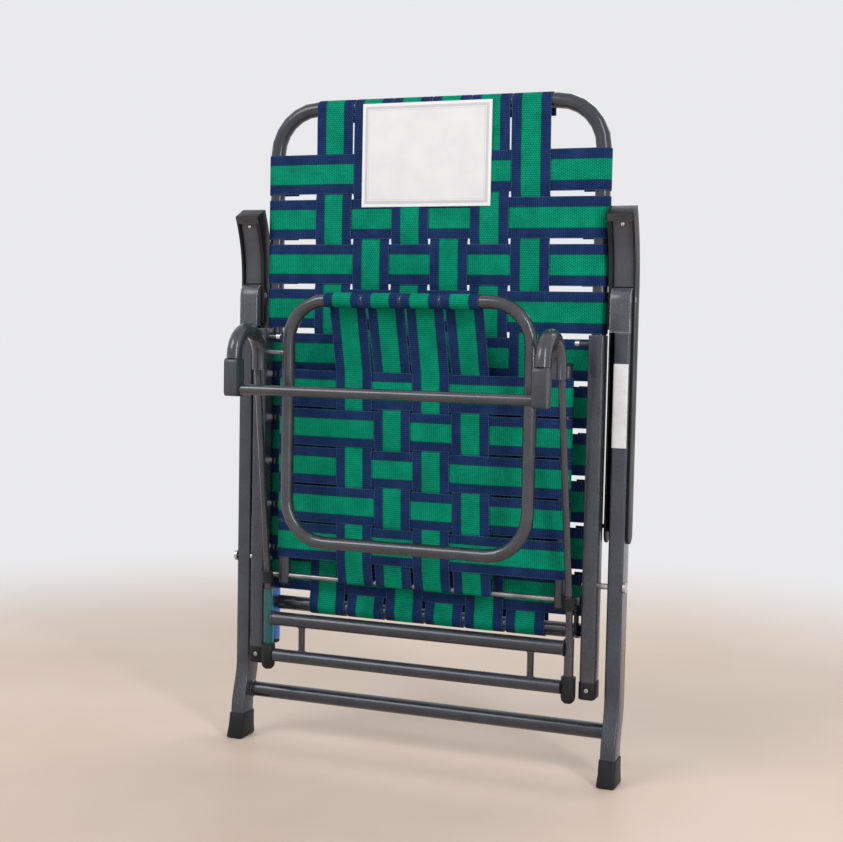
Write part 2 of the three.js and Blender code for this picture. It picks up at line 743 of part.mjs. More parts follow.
// Armrests: two walls, the web behind the leg, the recessed hand part, its end, and the pin into the back
function armSide(front, rear, from, to) {
  const points = [];
  for (let i = 0; i <= bendSteps; i++) {
    const angle = from + ((to - from) * i) / bendSteps;
    points.push([front(angle), rear(angle)]);
  }
  return [...points.map((p) => p[0]), ...points.reverse().map((p) => p[1])];
}
const armCentreY = armFrontY - armBendRadius;
const armAround = (radius) => (angle) => [
  armCentreY + radius * Math.cos(angle),
  armBendStart + radius * Math.sin(angle),
];
const armRearRadius = armBendRadius + armRearY - armFrontY;
for (const [label, s] of sides) {
  const round = (armRearY - armFrontY) / 2;
  const bottom = [];
  for (let i = 0; i <= 2 * cornerSteps; i++) {
    const angle = -(Math.PI * i) / (2 * cornerSteps);
    bottom.push([armFrontY + round + round * Math.cos(angle), armEnd + round + round * Math.sin(angle)]);
  }
  const side = [...bottom, ...armSide(armAround(armBendRadius), armAround(armRearRadius), 0, armBendAngle)];
  const web = [[armRearY, armEnd + round], [armRearY - armWebThick, armEnd + round],
    [armRearY - armWebThick, armBendStart], [armRearY, armBendStart]];
  const face = armBendRadius + armRecess;
  const palmBottom = blockCrown + slideGap;
  const palm = [
    ...armSide(armAround(face), armAround(armRearRadius), 0, armBendAngle),
    [armRearY, palmBottom],
    [armFrontY + armRecess, palmBottom],
  ];
  const swell = [
    ...armSide(armAround(armBendRadius), armAround(armRearRadius), 0, armBendAngle),
    [armRearY, linkTop + armSwellRise],
    [armFrontY, linkTop + armSwellRise],
  ];
  const hand = armBendAngle - armHandThick / armRearRadius;
  const end = armSide(armAround(armBendRadius), armAround(armRearRadius), hand, armBendAngle);
  const hole = (from, to) => turnedX(
    [[from - seatGap / 2, hingeAxleRadius + pinGap], [to + seatGap / 2, hingeAxleRadius + pinGap]],
    legY, armPivotHeight, s,
  );
  const pinRoot = armInner + armInnerWall / 2;
  const axleHoles = [
    hole(armInner - armSwell - overrun, armInner + armInnerWall),
    hole(armOuter - armOuterWall, armOuter + overrun),
  ];
  piece("armrest_" + label, joined([
    plateX(side, s * armInner, s * (armInner + armInnerWall)),
    plateX(swell, s * (armInner - armSwell), s * (armInner + armInnerWall)),
    plateX(side, s * (armOuter - armOuterWall), s * armOuter),
    plateX(web, s * armInner, s * armOuter),
    plateX(palm, s * armInner, s * armOuter),
    plateX(end, s * armInner, s * armOuter),
    turnedX([[backHalfSpan + backTubeRadius - backPinReach, backPinRadius], [pinRoot, backPinRadius]],
      0, backPivotHeight, s, thinSides),
  ], axleHoles), plastic);
}

// Straps across: hem, wrap, woven middle, wrap, hem
function rowStrap(name, z, width, wrapCentre, wrapRadius, levels, tilt) {
  const { halfSpan, planeY } = wrapCentre;
  const middle = [];
  for (const { x, half, y } of levels) {
    middle.push([x - half, y], [x + half, y]);
  }
  const left = [-halfSpan, planeY];
  const right = [halfSpan, planeY];
  const quarter = Math.PI / 2;
  const flat = [
    [left[0] + hemLength, planeY + wrapRadius],
    ...wrap(left, wrapRadius, quarter, 3 * quarter),
    ...middle,
    ...wrap(right, wrapRadius, -quarter, quarter),
    [right[0] - hemLength, planeY + wrapRadius],
  ];
  const first = 2 + wrapSteps + 1;
  const woven = (i) => i >= first && i < first + middle.length;
  const leaning = at(0, -Math.sin(tilt), Math.cos(tilt));
  piece(name, strap(flat.map(([x, y]) => at(x, y, z)), width, (i) => (woven(i) ? leaning : alongZ)), webbing);
}

// Back panel: rows on the side tubes, columns from the top bar to the hip bar
const backWeaveY = -backWrapRadius;
for (let row = 0; row < backRowCount; row++) {
  const z = topRowHeight - row * backRowPitch;
  const levels = [];
  for (let col = 0; col < backColCount; col++) {
    levels.push({
      x: columnX(col, backFan, z),
      half: backColWidth / 2,
      y: backWeaveY + (rowOver(row, col) ? -weaveLift : weaveLift),
    });
  }
  rowStrap("back_row_" + (row + 1), z, backRowWidth,
    { halfSpan: backHalfSpan, planeY: 0 }, backWrapRadius, levels, 0);
}
const hipWrapRadius = hipBarRadius + strapStack;
for (let col = 0; col < backColCount; col++) {
  const path = [
    [backWrapRadius, backTopHeight - shortHemLength],
    ...wrap([0, backTopHeight], backWrapRadius, 0, Math.PI),
  ];
  for (let row = 0; row < backRowCount; row++) {
    const z = topRowHeight - row * backRowPitch;
    const y = backWeaveY + (rowOver(row, col) ? weaveLift : -weaveLift);
    path.push([y, z + backRowWidth / 2], [y, z - backRowWidth / 2]);
  }
  const hip = [hipBarY, hipBarHeight];
  path.push(...wrap(hip, hipWrapRadius, touch(path[path.length - 1], hip, hipWrapRadius, 1), 2 * Math.PI));
  path.push([hipBarY + hipWrapRadius, hipBarHeight + shortHemLength]);
  const points = path.map(([y, z]) => at(columnX(col, backFan, z), y, z));
  piece("back_col_" + (col + 1), strap(points, backColWidth, () => alongX), webbing);
}

// Seat panel: rows on the seat tubes, columns from the ring's top bar to the hip rod
const seatWrapRadius = seatTubeRadius + strapStack;
const seatWeaveLow = seatTopRowHeight - seatSpan + seatRowWidth / 2;
const seatLean = Math.atan2(seatWeaveRise, seatSpan);
const seatWeaveY = (z) => seatPlaneY - seatWrapRadius - seatGap - Math.tan(seatLean) * (z - seatWeaveLow);
for (let row = 0; row < seatRowCount; row++) {
  const z = seatTopRowHeight - row * seatRowPitch;
  const levels = [];
  for (let col = 0; col < seatColCount; col++) {
    levels.push({
      x: columnX(col, seatFan, z),
      half: seatColWidth / 2,
      y: seatWeaveY(z) + (rowOver(row + 1, col) ? -weaveLift : weaveLift),
    });
  }
  rowStrap("seat_row_" + (row + 1), z, seatRowWidth,
    { halfSpan: seatHalfSpan, planeY: seatPlaneY }, seatWrapRadius, levels, seatLean);
}
const ringWrapRadius = ringTubeRadius + strapStack;
const rodWrapRadius = hipRodRadius + strapStack;
for (let col = 0; col < seatColCount; col++) {
  const woven = [];
  for (let row = 0; row < seatRowCount; row++) {
    const z = seatTopRowHeight - row * seatRowPitch;
    const over = rowOver(row + 1, col);
    for (const edge of [z + seatRowWidth / 2, z - seatRowWidth / 2]) {
      woven.push([seatWeaveY(edge) + (over ? weaveLift : -weaveLift), edge]);
    }
  }
  const bar = [ringY, ringTop];
  const rod = [seatPlaneY, seatPivotHeight];
  const leave = touch(woven[0], bar, ringWrapRadius, 1);
  const meet = touch(woven[woven.length - 1], rod, rodWrapRadius, 1);
  const path = [
    ...wrap(bar, ringWrapRadius, leave + (3 * Math.PI) / 2, leave),
    ...woven,
    ...wrap(rod, rodWrapRadius, meet, 2 * Math.PI),
    [seatPlaneY + rodWrapRadius, seatPivotHeight + shortHemLength],
  ];
  const points = path.map(([y, z]) => at(columnX(col, seatFan, z), y, z));
  piece("seat_col_" + (col + 1), strap(points, seatColWidth, () => alongX), webbing);
}

// Paper card in front of the upper straps
const cardRear = backWeaveY - weaveLift - strapThick / 2 - seatGap;
piece("tag_card", new THREE.BoxGeometry(cardRight - cardLeft, cardThick, cardTop - cardBottom).translate(
  (cardLeft + cardRight) / 2, cardRear - cardThick / 2, (cardTop + cardBottom) / 2,
), paper);

// Origin at the middle of the chair's footprint box
group.position.y = -(hookFrontY - blockDepth / 2 + armRearY) / 2;

export default group;
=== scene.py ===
import math

import bmesh
import bpy
from mathutils import Matrix, Vector, noise


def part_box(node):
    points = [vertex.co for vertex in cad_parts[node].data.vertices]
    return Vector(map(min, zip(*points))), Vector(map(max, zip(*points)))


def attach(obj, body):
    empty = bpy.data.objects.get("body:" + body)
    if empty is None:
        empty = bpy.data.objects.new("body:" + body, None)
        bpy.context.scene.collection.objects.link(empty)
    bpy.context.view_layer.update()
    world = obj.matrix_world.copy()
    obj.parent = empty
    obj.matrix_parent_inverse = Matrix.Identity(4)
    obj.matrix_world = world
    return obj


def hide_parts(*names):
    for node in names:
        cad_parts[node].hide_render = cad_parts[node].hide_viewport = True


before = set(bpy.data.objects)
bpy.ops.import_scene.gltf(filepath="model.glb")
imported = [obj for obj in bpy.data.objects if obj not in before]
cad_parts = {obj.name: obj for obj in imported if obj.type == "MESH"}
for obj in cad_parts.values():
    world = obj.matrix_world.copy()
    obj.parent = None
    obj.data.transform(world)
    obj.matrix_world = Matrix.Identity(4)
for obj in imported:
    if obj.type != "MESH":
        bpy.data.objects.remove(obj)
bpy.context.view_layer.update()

MM = 0.001
SHIFT_Y = 91.0
SIDES = (("L", -1), ("R", 1))

# Measures of the frame, in millimetres as in the part's source
STRAP_THICK = 1.0
STRAP_GAP = 0.3
CAD_STRAP_THICK = 1.4
WEAVE_LIFT = 0.95
BACK_ROW_WIDTH = 59.0
BACK_COL_WIDTH = 58.5
SEAT_ROW_WIDTH = 54.5
SEAT_COL_WIDTH = 57.0
HEM = 30.0
SHORT_HEM = 20.0
BACK_SPAN = 254.0
BACK_TUBE = 11.0
BACK_TOP = 962.0
BACK_END = 150.0
BACK_ROWS = 10
BACK_COLS = 6
TOP_ROW = 863.5
BACK_PITCH = 66.8
HIP_BAR = 11.0
HIP_BAR_Y = -5.0
HIP_BAR_Z = 210.0
SEAT_SPAN = 217.5
SEAT_TUBE = 9.5
SEAT_Y = -33.0
SEAT_PIVOT = 258.0
SEAT_TUBE_TOP = 588.0
SEAT_ROWS = 5
SEAT_COLS = 4
SEAT_TOP_ROW = 544.5
SEAT_PITCH = 57.5
SEAT_RISE = 11.0
HIP_ROD = 4.0
RING_TUBE = 9.5
RING_Y = -95.0
RING_TOP = 675.0
# Columns: count, top height, bottom height, pitch, shift, and what is added to both at the bottom
BACK_SPREAD = (BACK_COLS, BACK_TOP, HIP_BAR_Z, 61.0, -2.0, 1.9, 4.8)
SEAT_SPREAD = (SEAT_COLS, RING_TOP, SEAT_PIVOT, 59.6, -8.5, 1.9, 2.8)


def at(x, y, z):
    """A point of the part's source in metres of the row frame."""
    return Vector((x, y + SHIFT_Y, z)) * MM


# Node helpers
def new_material(name):
    mat = bpy.data.materials.new(name)
    mat.use_nodes = True
    tree = mat.node_tree
    return mat, tree, tree.nodes["Principled BSDF"]


def node(tree, kind, inputs=None, **settings):
    made = tree.nodes.new(kind)
    for key, value in settings.items():
        setattr(made, key, value)
    for key, value in (inputs or {}).items():
        if isinstance(value, bpy.types.NodeSocket):
            tree.links.new(value, made.inputs[key])
        else:
            made.inputs[key].default_value = value
    return made


def maths(tree, operation, a, b=0.0):
    return node(tree, "ShaderNodeMath", {0: a, 1: b}, operation=operation).outputs[0]


def times(tree, a, b):
    return maths(tree, "MULTIPLY", a, b)


def less(tree, a, b):
    return maths(tree, "SUBTRACT", a, b)


def ramp(tree, value, low, high, to_low=0.0, to_high=1.0):
    made = node(
        tree,
        "ShaderNodeMapRange",
        {0: value, 1: low, 2: high, 3: to_low, 4: to_high},
        interpolation_type="SMOOTHSTEP",
    )
    return made.outputs[0]


def mixed(tree, factor, a, b, blend="MIX"):
    made = node(tree, "ShaderNodeMix", data_type="RGBA", blend_type=blend)
    for index, value in ((0, factor), (6, a), (7, b)):
        if isinstance(value, bpy.types.NodeSocket):
            tree.links.new(value, made.inputs[index])
        else:
            made.inputs[index].default_value = value
    return made.outputs[2]


def grain(tree, scale, detail=3.0, rough=0.55):
    where = node(tree, "ShaderNodeTexCoord").outputs["Object"]
    made = node(
        tree,
        "ShaderNodeTexNoise",
        {"Vector": where, "Scale": scale, "Detail": detail, "Roughness": rough},
    )
    return made.outputs["Fac"]


def edge_share(tree, radius, low, high):
    """How sharply the surface turns within the radius, from 0 on a flat face to 1 on an edge."""
    bevel = node(tree, "ShaderNodeBevel", {"Radius": radius}, samples=4)
    geometry = node(tree, "ShaderNodeNewGeometry")
    dot = node(
        tree,
        "ShaderNodeVectorMath",
        {0: bevel.outputs[0], 1: geometry.outputs["Normal"]},
        operation="DOT_PRODUCT",
    )
    return ramp(tree, dot.outputs["Value"], high, low)


def bumped(tree, height, strength, distance, normal=None):
    inputs = {"Height": height, "Strength": strength, "Distance": distance}
    if normal is not None:
        inputs["Normal"] = normal
    return node(tree, "ShaderNodeBump", inputs).outputs[0]


# Depth of the grain and width of the paler edges (rubbed wear; a painted highlight on legs and blocks), in
# metres
PAINT_GRAIN, PLASTIC_GRAIN, RUBBER_GRAIN = 0.00006, 0.0001, 0.00014
THIN_EDGE, LEG_EDGE, BLOCK_EDGE = 0.0012, 0.0026, 0.003


def hard_finish(
    name, colours, rough, metallic, coat=0.0, depth=PAINT_GRAIN, wear_and_highlight_share=0.5, edge=THIN_EDGE, gloss=0.5
):
    """Painted steel or moulded plastic: mottled colour, fine grain, uneven gloss and paler edges.

    colours are the mottle's two and that of the paler edges, whose share sets how far these show; these
    edges are rubbed wear and, where bright and shown in full, a painted highlight.
    """
    mat, tree, shader = new_material(name)
    dark, light, edge_wear_and_highlight = ((*colour, 1.0) for colour in colours)
    mottle = ramp(tree, grain(tree, 34.0, 4.0), 0.32, 0.68)
    fine = grain(tree, 620.0, 2.0)
    speck = ramp(tree, fine, 0.42, 0.6)
    body = mixed(tree, mottle, dark, light)
    body = mixed(tree, times(tree, speck, 0.07), body, edge_wear_and_highlight)
    # Paler edges: rubbed wear, and where the edge colour is bright and fully shown, a painted highlight
    # along the edges
    edges = edge_share(tree, edge, 0.8, 0.985)
    rubbed_and_lit_edges = times(tree, edges, ramp(tree, grain(tree, 90.0), 0.3, 0.62, 0.25, 1.0))
    body = mixed(tree, times(tree, rubbed_and_lit_edges, wear_and_highlight_share), body, edge_wear_and_highlight)
    tree.links.new(body, shader.inputs["Base Color"])
    uneven = ramp(tree, grain(tree, 17.0, 5.0), 0.3, 0.7, rough - 0.05, rough + 0.07)
    tree.links.new(uneven, shader.inputs["Roughness"])
    tree.links.new(bumped(tree, fine, 0.35, depth), shader.inputs["Normal"])
    shader.inputs["Metallic"].default_value = metallic
    shader.inputs["Specular IOR Level"].default_value = gloss
    shader.inputs["Coat Weight"].default_value = coat
    shader.inputs["Coat Roughness"].default_value = 0.18
    return mat


# One gunmetal paint in lit and shaded copies: this darker one, for the rails and tubes, carries painted
# shade
STEEL = hard_finish(
    "gunmetal_coat", ((0.029, 0.033, 0.043), (0.041, 0.046, 0.06), (0.15, 0.155, 0.17)),
    0.27, 0.4, coat=0.35,
)
# The legs' lighter copy of the same paint is painted light, and its bright pale edges are a painted
# highlight
LEG_STEEL = hard_finish(
    "gunmetal_coat_legs", ((0.034, 0.04, 0.054), (0.048, 0.056, 0.073), (0.34, 0.36, 0.4)),
    0.27, 0.35, coat=0.35, wear_and_highlight_share=0.8, edge=LEG_EDGE,
)
WARM_STEEL = hard_finish(
    "gunmetal_coat_warm", ((0.04, 0.042, 0.051), (0.057, 0.06, 0.072), (0.24, 0.24, 0.25)),
    0.22, 0.45, coat=0.5,
)
PLATED = hard_finish(
    "zinc_plate", ((0.46, 0.47, 0.48), (0.66, 0.66, 0.65), (0.82, 0.82, 0.82)), 0.26, 0.95
)
DULL_PLATED = hard_finish(
    "dull_zinc_plate", ((0.2, 0.21, 0.225), (0.34, 0.345, 0.355), (0.6, 0.6, 0.61)), 0.34, 0.9
)
PLASTIC = hard_finish(
    "dark_plastic", ((0.031, 0.035, 0.044), (0.044, 0.05, 0.061), (0.13, 0.137, 0.15)),
    0.34, 0.0, coat=0.1, depth=PLASTIC_GRAIN,
)
BLACK = hard_finish(
    "black_plastic", ((0.008, 0.0085, 0.01), (0.015, 0.016, 0.018), (0.06, 0.062, 0.066)),
    0.4, 0.0, depth=PLASTIC_GRAIN, gloss=0.22,
)
# The hinge blocks' near-white edges, shown in full, are a painted highlight along them
BLOCK = hard_finish(
    "hinge_block_plastic", ((0.044, 0.051, 0.065), (0.06, 0.069, 0.087), (0.62, 0.65, 0.7)),
    0.3, 0.0, coat=0.25, depth=PLASTIC_GRAIN, wear_and_highlight_share=1.0, edge=BLOCK_EDGE,
)
RUBBER = hard_finish(
    "black_rubber", ((0.008, 0.009, 0.0115), (0.015, 0.0165, 0.02), (0.07, 0.073, 0.08)),
    0.46, 0.0, depth=RUBBER_GRAIN, gloss=0.22,
)
INLAY = hard_finish(
    "armrest_face", ((0.053, 0.057, 0.067), (0.074, 0.079, 0.091), (0.18, 0.18, 0.19)), 0.38, 0.15
)
LIP = hard_finish(
    "armrest_lip", ((0.036, 0.04, 0.047), (0.05, 0.055, 0.064), (0.2, 0.205, 0.22)),
    0.3, 0.15, gloss=0.35,
)


def webbing_finish():
    """Ribbed webbing: green middle, navy edges, a dark line between them and a pale selvedge."""
    greens = ((0.0009, 0.25, 0.14, 1.0), (0.0014, 0.33, 0.186, 1.0))
    navies = ((0.0105, 0.029, 0.108, 1.0), (0.016, 0.043, 0.15, 1.0))
    seam, selvedge, lint = (0.002, 0.05, 0.055, 1.0), (0.13, 0.22, 0.34, 1.0), (0.03, 0.36, 0.28, 1.0)
    mat, tree, shader = new_material("green_navy_webbing")
    place = node(tree, "ShaderNodeUVMap", uv_map="strap").outputs[0]
    across = node(tree, "ShaderNodeSeparateXYZ", {0: place}).outputs[0]
    # Distance from the strap's middle as a share of its width, a little uneven
    wander = times(tree, less(tree, grain(tree, 160.0, 2.0), 0.5), 0.012)
    off = maths(tree, "ABSOLUTE", maths(tree, "ADD", less(tree, across, 0.5), wander))
    navy_share = ramp(tree, off, 0.246, 0.256)
    seam_rise, seam_fall = ramp(tree, off, 0.232, 0.246), ramp(tree, off, 0.262, 0.274, 1.0, 0.0)
    seam_share = times(tree, seam_rise, seam_fall)
    pale_share = ramp(tree, off, 0.479, 0.488)
    # Yarn pattern: ribs across the strap, broken into short dashes that shift from rib to rib
    stretched = node(tree, "ShaderNodeMapping", {"Vector": place, "Scale": (0.58, 10.0, 1.0)})
    weave = node(
        tree,
        "ShaderNodeTexBrick",
        {
            "Vector": stretched.outputs[0],
            "Color1": (1.0, 1.0, 1.0, 1.0),
            "Color2": (0.66, 0.66, 0.66, 1.0),
            "Mortar": (0.0, 0.0, 0.0, 1.0),
            "Scale": 1.0,
            "Mortar Size": 0.0052,
            "Mortar Smooth": 1.0,
            "Bias": 0.0,
            "Brick Width": 0.036,
            "Row Height": 0.03,
        },
        offset=0.5,
    )
    yarn = weave.outputs["Color"]
    yarn_height = node(tree, "ShaderNodeRGBToBW", {0: yarn}).outputs[0]
    broad = ramp(tree, grain(tree, 42.0, 4.0), 0.3, 0.7)
    colour = mixed(tree, navy_share, mixed(tree, broad, *greens), mixed(tree, broad, *navies))
    colour = mixed(tree, times(tree, seam_share, 0.6), colour, seam)
    colour = mixed(tree, times(tree, pale_share, 0.3), colour, selvedge)
    # The colour follows the yarn's height: the dashes' two tones are the yarn's own, and the dark gaps
    # between the dashes are painted shade
    shade = ramp(tree, yarn_height, 0.0, 0.9, 0.38, 1.12)
    yarn_tone_and_gap_shade = node(tree, "ShaderNodeCombineColor", {0: shade, 1: shade, 2: shade}).outputs[0]
    colour = mixed(tree, 1.0, colour, yarn_tone_and_gap_shade, "MULTIPLY")
    fuzz = grain(tree, 1500.0, 2.0)
    colour = mixed(tree, times(tree, ramp(tree, fuzz, 0.5, 0.75), 0.05), colour, lint)
    tree.links.new(colour, shader.inputs["Base Color"])
    tree.links.new(ramp(tree, yarn_height, 0.0, 1.0, 0.85, 0.6), shader.inputs["Roughness"])
    ribs = bumped(tree, yarn_height, 0.85, 0.0004)
    tree.links.new(bumped(tree, fuzz, 0.25, 0.00008, ribs), shader.inputs["Normal"])
    shader.inputs["Specular IOR Level"].default_value = 0.06
    return mat


def card_finish():
    """White card with a plain pale grey band and line inside its edge."""
    mat, tree, shader = new_material("white_card")
    low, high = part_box("tag_card")
    centre, half = (low + high) / 2, (high - low) / 2
    where = node(tree, "ShaderNodeTexCoord").outputs["Object"]
    parts = node(tree, "ShaderNodeSeparateXYZ", {0: where})

    def inset_along(axis):
        """Distance from the nearer of the card's two edges along an axis."""
        off = maths(tree, "ABSOLUTE", less(tree, parts.outputs[axis], centre[axis]))
        return less(tree, half[axis], off)

    def ribbon(rise, fall):
        return times(tree, ramp(tree, inset, *rise), ramp(tree, inset, *fall, 1.0, 0.0))

    inset = maths(tree, "MINIMUM", inset_along(0), inset_along(2))
    band = ribbon((0.0042, 0.0048), (0.0082, 0.0088))
    line = ribbon((0.0098, 0.0101), (0.0106, 0.0109))
    blotch = ramp(tree, grain(tree, 26.0, 4.0), 0.35, 0.65)
    body = mixed(tree, blotch, (0.79, 0.80, 0.82, 1.0), (0.84, 0.85, 0.86, 1.0))
    rim = ramp(tree, inset, 0.0038, 0.0044, 1.0, 0.0)
    body = mixed(tree, rim, body, (0.88, 0.89, 0.89, 1.0))
    body = mixed(tree, times(tree, band, 0.75), body, (0.56, 0.56, 0.60, 1.0))
    body = mixed(tree, times(tree, line, 0.5), body, (0.5, 0.5, 0.55, 1.0))
    tree.links.new(body, shader.inputs["Base Color"])
    fibre = grain(tree, 900.0, 3.0)
    tree.links.new(ramp(tree, fibre, 0.3, 0.7, 0.34, 0.5), shader.inputs["Roughness"])
    sag = bumped(tree, grain(tree, 9.0, 1.0), 0.35, 0.002)
    tree.links.new(bumped(tree, fibre, 0.2, 0.00004, sag), shader.inputs["Normal"])
    return mat


def sticker_finish():
    """Bare white sticker film, faintly uneven."""
    mat, tree, shader = new_material("white_film")
    blotch = ramp(tree, grain(tree, 70.0, 4.0), 0.35, 0.65)
    body = mixed(tree, blotch, (0.76, 0.76, 0.77, 1.0), (0.84, 0.84, 0.85, 1.0))
    tree.links.new(body, shader.inputs["Base Color"])
    gloss = ramp(tree, grain(tree, 300.0), 0.3, 0.7, 0.3, 0.42)
    tree.links.new(gloss, shader.inputs["Roughness"])
    tree.links.new(bumped(tree, grain(tree, 120.0), 0.3, 0.0001), shader.inputs["Normal"])
    return mat


WEBBING = webbing_finish()
CARD = card_finish()
STICKER = sticker_finish()


# Smoothing that leaves the frame's own meshes as they are
def smoothing_group(name, weld, angle):
    group = bpy.data.node_groups.new(name, "GeometryNodeTree")
    group.interface.new_socket("Geometry", in_out="INPUT", socket_type="NodeSocketGeometry")
    group.interface.new_socket("Geometry", in_out="OUTPUT", socket_type="NodeSocketGeometry")
    start = group.nodes.new("NodeGroupInput")
    end = group.nodes.new("NodeGroupOutput")
    shape = start.outputs[0]
    if weld:
        unwanted = {"Geometry": shape, "Name": "custom_normal"}
        bare = node(group, "GeometryNodeRemoveAttribute", unwanted).outputs[0]
        reach = {"Geometry": bare, "Distance": 0.00002}
        shape = node(group, "GeometryNodeMergeByDistance", reach).outputs[0]
    all_smooth = {"Geometry": shape, "Shade Smooth": True}
    faces = node(group, "GeometryNodeSetShadeSmooth", all_smooth, domain="FACE").outputs[0]
    turn = node(group, "GeometryNodeInputMeshEdgeAngle").outputs[0]
    limit = {"A": turn, "B": math.radians(angle)}
    blunt = node(group, "FunctionNodeCompare", limit, data_type="FLOAT", operation="LESS_EQUAL")
    by_angle = {"Geometry": faces, "Shade Smooth": blunt.outputs[0]}
    edges = node(group, "GeometryNodeSetShadeSmooth", by_angle, domain="EDGE").outputs[0]
    group.links.new(edges, end.inputs[0])
    return group


SMOOTH_ANGLE = 47.0
WELD_SMOOTH = smoothing_group("weld_and_smooth", True, SMOOTH_ANGLE)
SMOOTH = smoothing_group("smooth_by_angle", False, SMOOTH_ANGLE)


def dress(names, mat, bevel=0.0):
    """Gives frame nodes a material, even shading and, where asked, small round edges."""
    for name in names:
        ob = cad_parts[name]
        ob.data.materials.clear()
        ob.data.materials.append(mat)
        ob.modifiers.new("weld_and_smooth", "NODES").node_group = WELD_SMOOTH
        if bevel:
            round_off = ob.modifiers.new("round_edges", "BEVEL")
            round_off.width = bevel
            round_off.segments = 2
            round_off.limit_method = "ANGLE"
            round_off.angle_limit = math.radians(50)
            round_off.harden_normals = False
            ob.modifiers.new("smooth_by_angle", "NODES").node_group = SMOOTH


def both(*stems):
    return [stem + "_" + label for stem in stems for label, _ in SIDES]


dress(both("rear_leg", "link_leg"), LEG_STEEL)
dress(both("seat_tube", "hip_bracket") + ["leg_rail", "back_tube", "hip_bar", "front_rails"], STEEL)
dress(both("front_leg") + ["legrest_loop", "cross_bar"], WARM_STEEL)
dress(both("scissor_bolt"), PLATED)
dress(both("knee_pin") + ["hip_rod"], DULL_PLATED)
dress(both("arm_block"), BLOCK, 0.0018)
dress(both("corner_block"), PLASTIC, 0.0009)
dress(both("armrest"), BLACK, 0.0006)
dress(both("link_cap", "bullet_cap"), BLACK, 0.0005)
dress(both("foot"), RUBBER, 0.0024)
dress(["tag_card"], CARD)


# New pieces
def side_faces(rings, sides):
    """Quads that join each ring of points to the next."""
    faces = []
    for i in range(rings - 1):
        for j in range(sides):
            k = (j + 1) % sides
            faces.append((i * sides + j, i * sides + k, (i + 1) * sides + k, (i + 1) * sides + j))
    return faces


def closed_faces(rings, sides):
    """The quads between rings of points, and an end face on the first and last ring."""
    last = (rings - 1) * sides
    return side_faces(rings, sides) + [tuple(range(sides)), tuple(range(last, last + sides))]


def add_piece(name, verts, faces, mat, body, smooth=SMOOTH_ANGLE, uvs=None):
    mesh = bpy.data.meshes.new(name)
    mesh.from_pydata([tuple(v) for v in verts], [], faces)
    mesh.materials.append(mat)
    if uvs is not None:
        layer = mesh.uv_layers.new(name="strap")
        for loop in mesh.loops:
            layer.data[loop.index].uv = uvs[loop.vertex_index]
    made = bmesh.new()
    made.from_mesh(mesh)
    bmesh.ops.recalc_face_normals(made, faces=made.faces)
    made.to_mesh(mesh)
    made.free()
    mesh.shade_smooth()
    mesh.set_sharp_from_angle(angle=math.radians(smooth))
    ob = bpy.data.objects.new(name, mesh)
    bpy.context.scene.collection.objects.link(ob)
    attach(ob, body)
    return ob


# Strap routes as lists of (a, b) points in millimetres
def arc(centre, radius, start, end):
    steps = max(8, int(abs(end - start) * radius / 1.6))
    turns = [start + (end - start) * i / steps for i in range(steps + 1)]
    return [(centre[0] + radius * math.cos(t), centre[1] + radius * math.sin(t)) for t in turns]


def touch(point, centre, radius):
    """Angle at which a line from a point touches a circle."""
    dy, dz = point[0] - centre[0], point[1] - centre[1]
    return math.atan2(dz, dy) + math.acos(radius / math.hypot(dy, dz))


def eased(route, step=1.5, rounds=2):
    """The route at even steps with its kinks eased, as stretched webbing lies."""
    points = [Vector(p) for p in route]
    even = [points[0]]
    carry = 0.0
    for a, b in zip(points, points[1:]):
        length = (b - a).length
        reach = step - carry
        while reach < length:
            even.append(a.lerp(b, reach / length))
            reach += step
        carry = length - (reach - step)
    if (even[-1] - points[-1]).length > 0.3 * step:
        even.append(points[-1])
    for _ in range(rounds):
        inner = [even[i - 1] / 4 + even[i] / 2 + even[i + 1] / 4 for i in range(1, len(even) - 1)]
        even = [even[0], *inner, even[-1]]
    return even


def thinned(points, turn=math.radians(3.0), reach=11.0):
    """The route's points without those that add nothing to its shape."""
    kept = [0]
    for i in range(1, len(points) - 1):
        last = points[kept[-1]]
        ahead = points[i + 1] - points[i]
        behind = points[kept[-1] + 1] - last
        if behind.angle(ahead, 0.0) > turn or (points[i] - last).length > reach:
            kept.append(i)
    kept.append(len(points) - 1)
    return kept


# Section of a strap: places across it as shares of half its width, and thickness at each
ACROSS = (-1.0, -0.965, -0.6, -0.2, 0.2, 0.6, 0.965, 1.0)
SWELL = (0.3, 0.92, 1.0, 1.0, 1.0, 1.0, 0.92, 0.3)


def strap(name, route, width, place, wide_at, body):
    """Strap along a route.

    place() puts a route point in space, and wide_at() gives the direction of the width there.
    """
    route = eased(route)
    lengths = [0.0]
    for a, b in zip(route, route[1:]):
        lengths.append(lengths[-1] + (b - a).length)
    kept = thinned(route)
    verts, uvs = [], []
    ring = 2 * len(ACROSS)
    for i in kept:
        here = place(route[i])
        before, after = place(route[max(i - 1, 0)]), place(route[min(i + 1, len(route) - 1)])
        wide = wide_at(route[i], lengths[i], lengths[-1]).normalized()
        face = (after - before).normalized().cross(wide).normalized()
        for sign, order in ((1, range(len(ACROSS))), (-1, reversed(range(len(ACROSS))))):
            for k in order:
                lift = sign * SWELL[k] * STRAP_THICK / 2
                verts.append(here + wide * (ACROSS[k] * width / 2 * MM) + face * (lift * MM))
                uvs.append(((ACROSS[k] + 1) / 2, lengths[i] * MM))
    last = (len(kept) - 1) * ring
    ends = [tuple(reversed(range(ring))), tuple(range(last, last + ring))]
    faces = side_faces(len(kept), ring) + ends
    ob = add_piece("webbing_" + name, verts, faces, WEBBING, body, 40.0, uvs)
    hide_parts(name)
    return ob


